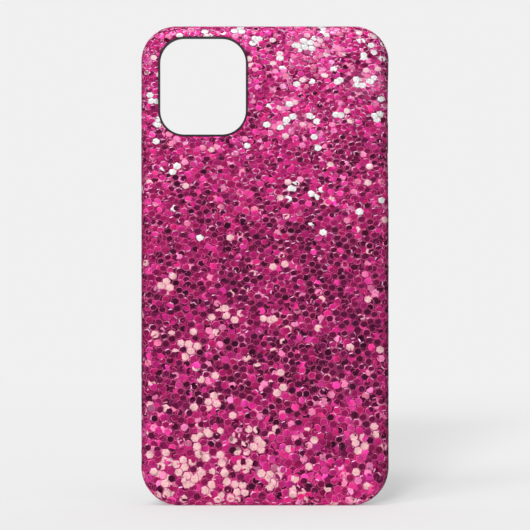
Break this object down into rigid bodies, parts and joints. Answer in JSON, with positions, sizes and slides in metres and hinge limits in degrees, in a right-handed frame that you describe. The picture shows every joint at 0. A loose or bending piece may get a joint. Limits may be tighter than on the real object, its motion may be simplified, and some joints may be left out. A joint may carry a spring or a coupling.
{
  "type": "phone case",
  "caption": "Phone case with a glitter-faced rigid shell over a soft black liner, a raised front lip, a camera cut-out and black press-through side keys.",
  "frame": {"origin": "middle of the lining face that the phone's back lies on, on the case's centre lines", "axes": "+X to the right when the glitter face is looked at, +Y out of the pocket towards the phone's screen side, +Z towards the camera end"},
  "size_m": [0.0802, 0.0119, 0.1552],
  "materials": {
    "glitter_resin": "clear resin filled with hexagonal pink glitter flakes",
    "shell": "moulded magenta polycarbonate",
    "liner": "soft-touch black thermoplastic elastomer, matt",
    "lining": "short-pile dark grey microfibre",
    "key_cap": "rigid cap, moulded black plastic with a satin grain"
  },
  "bodies": {
    "case": {"glitter_layer": "glitter_resin", "outer_shell": "shell", "liner": "liner", "back_lining": "lining", "volume_up_web": "liner", "volume_down_web": "liner", "side_key_web": "liner"},
    "volume_up": {"volume_up_cap": "key_cap", "volume_up_pad": "liner"},
    "volume_down": {"volume_down_cap": "key_cap", "volume_down_pad": "liner"},
    "side_key": {"side_key_cap": "key_cap", "side_key_pad": "liner"}
  },
  "joints": [
    {"name": "volume_up_press", "type": "slide", "parent": "case", "child": "volume_up", "axis": [-1, 0, 0], "range_m": [0, 0.0003], "stiffness_N_per_m": 6000, "deforming": ["volume_up_web"]},
    {"name": "volume_down_press", "type": "slide", "parent": "case", "child": "volume_down", "axis": [-1, 0, 0], "range_m": [0, 0.0003], "stiffness_N_per_m": 6000, "deforming": ["volume_down_web"]},
    {"name": "side_key_press", "type": "slide", "parent": "case", "child": "side_key", "axis": [1, 0, 0], "range_m": [0, 0.0003], "stiffness_N_per_m": 6000, "deforming": ["side_key_web"]}
  ]
}
